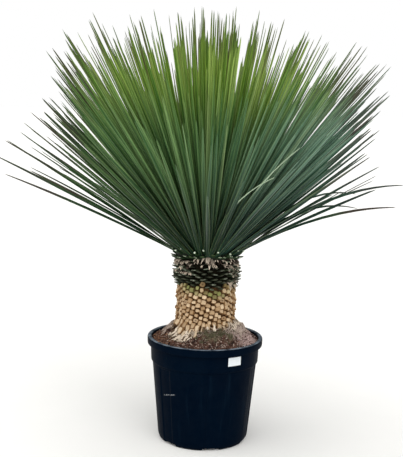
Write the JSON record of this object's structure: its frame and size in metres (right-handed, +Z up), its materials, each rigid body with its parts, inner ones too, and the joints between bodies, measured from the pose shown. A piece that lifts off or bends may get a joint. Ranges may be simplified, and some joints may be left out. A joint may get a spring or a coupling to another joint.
{
  "type": "potted beaked yucca",
  "caption": "Yucca with a stout stem of cut leaf bases and a round head of stiff, narrow leaves, in a fluted nursery pot with a blank label.",
  "frame": {"origin": "centre of the pot's flat underside", "axes": "+Z up along the pot and stem, -Y towards the front, with the label to the right of the front"},
  "size_m": [1.3007, 1.3185, 1.4088],
  "materials": {
    "pot_plastic": "satin",
    "label_paper": "matte",
    "potting_soil": "matte",
    "dry_leaf_bases": "matte",
    "green_leaf_stubs": "matte",
    "leaves": "satin"
  },
  "bodies": {
    "root": {"pot": "pot_plastic", "label": "label_paper", "soil": "potting_soil", "stem": "dry_leaf_bases", "cut_leaf_collar": "green_leaf_stubs", "leaf_head": "leaves"}
  },
  "joints": []
}
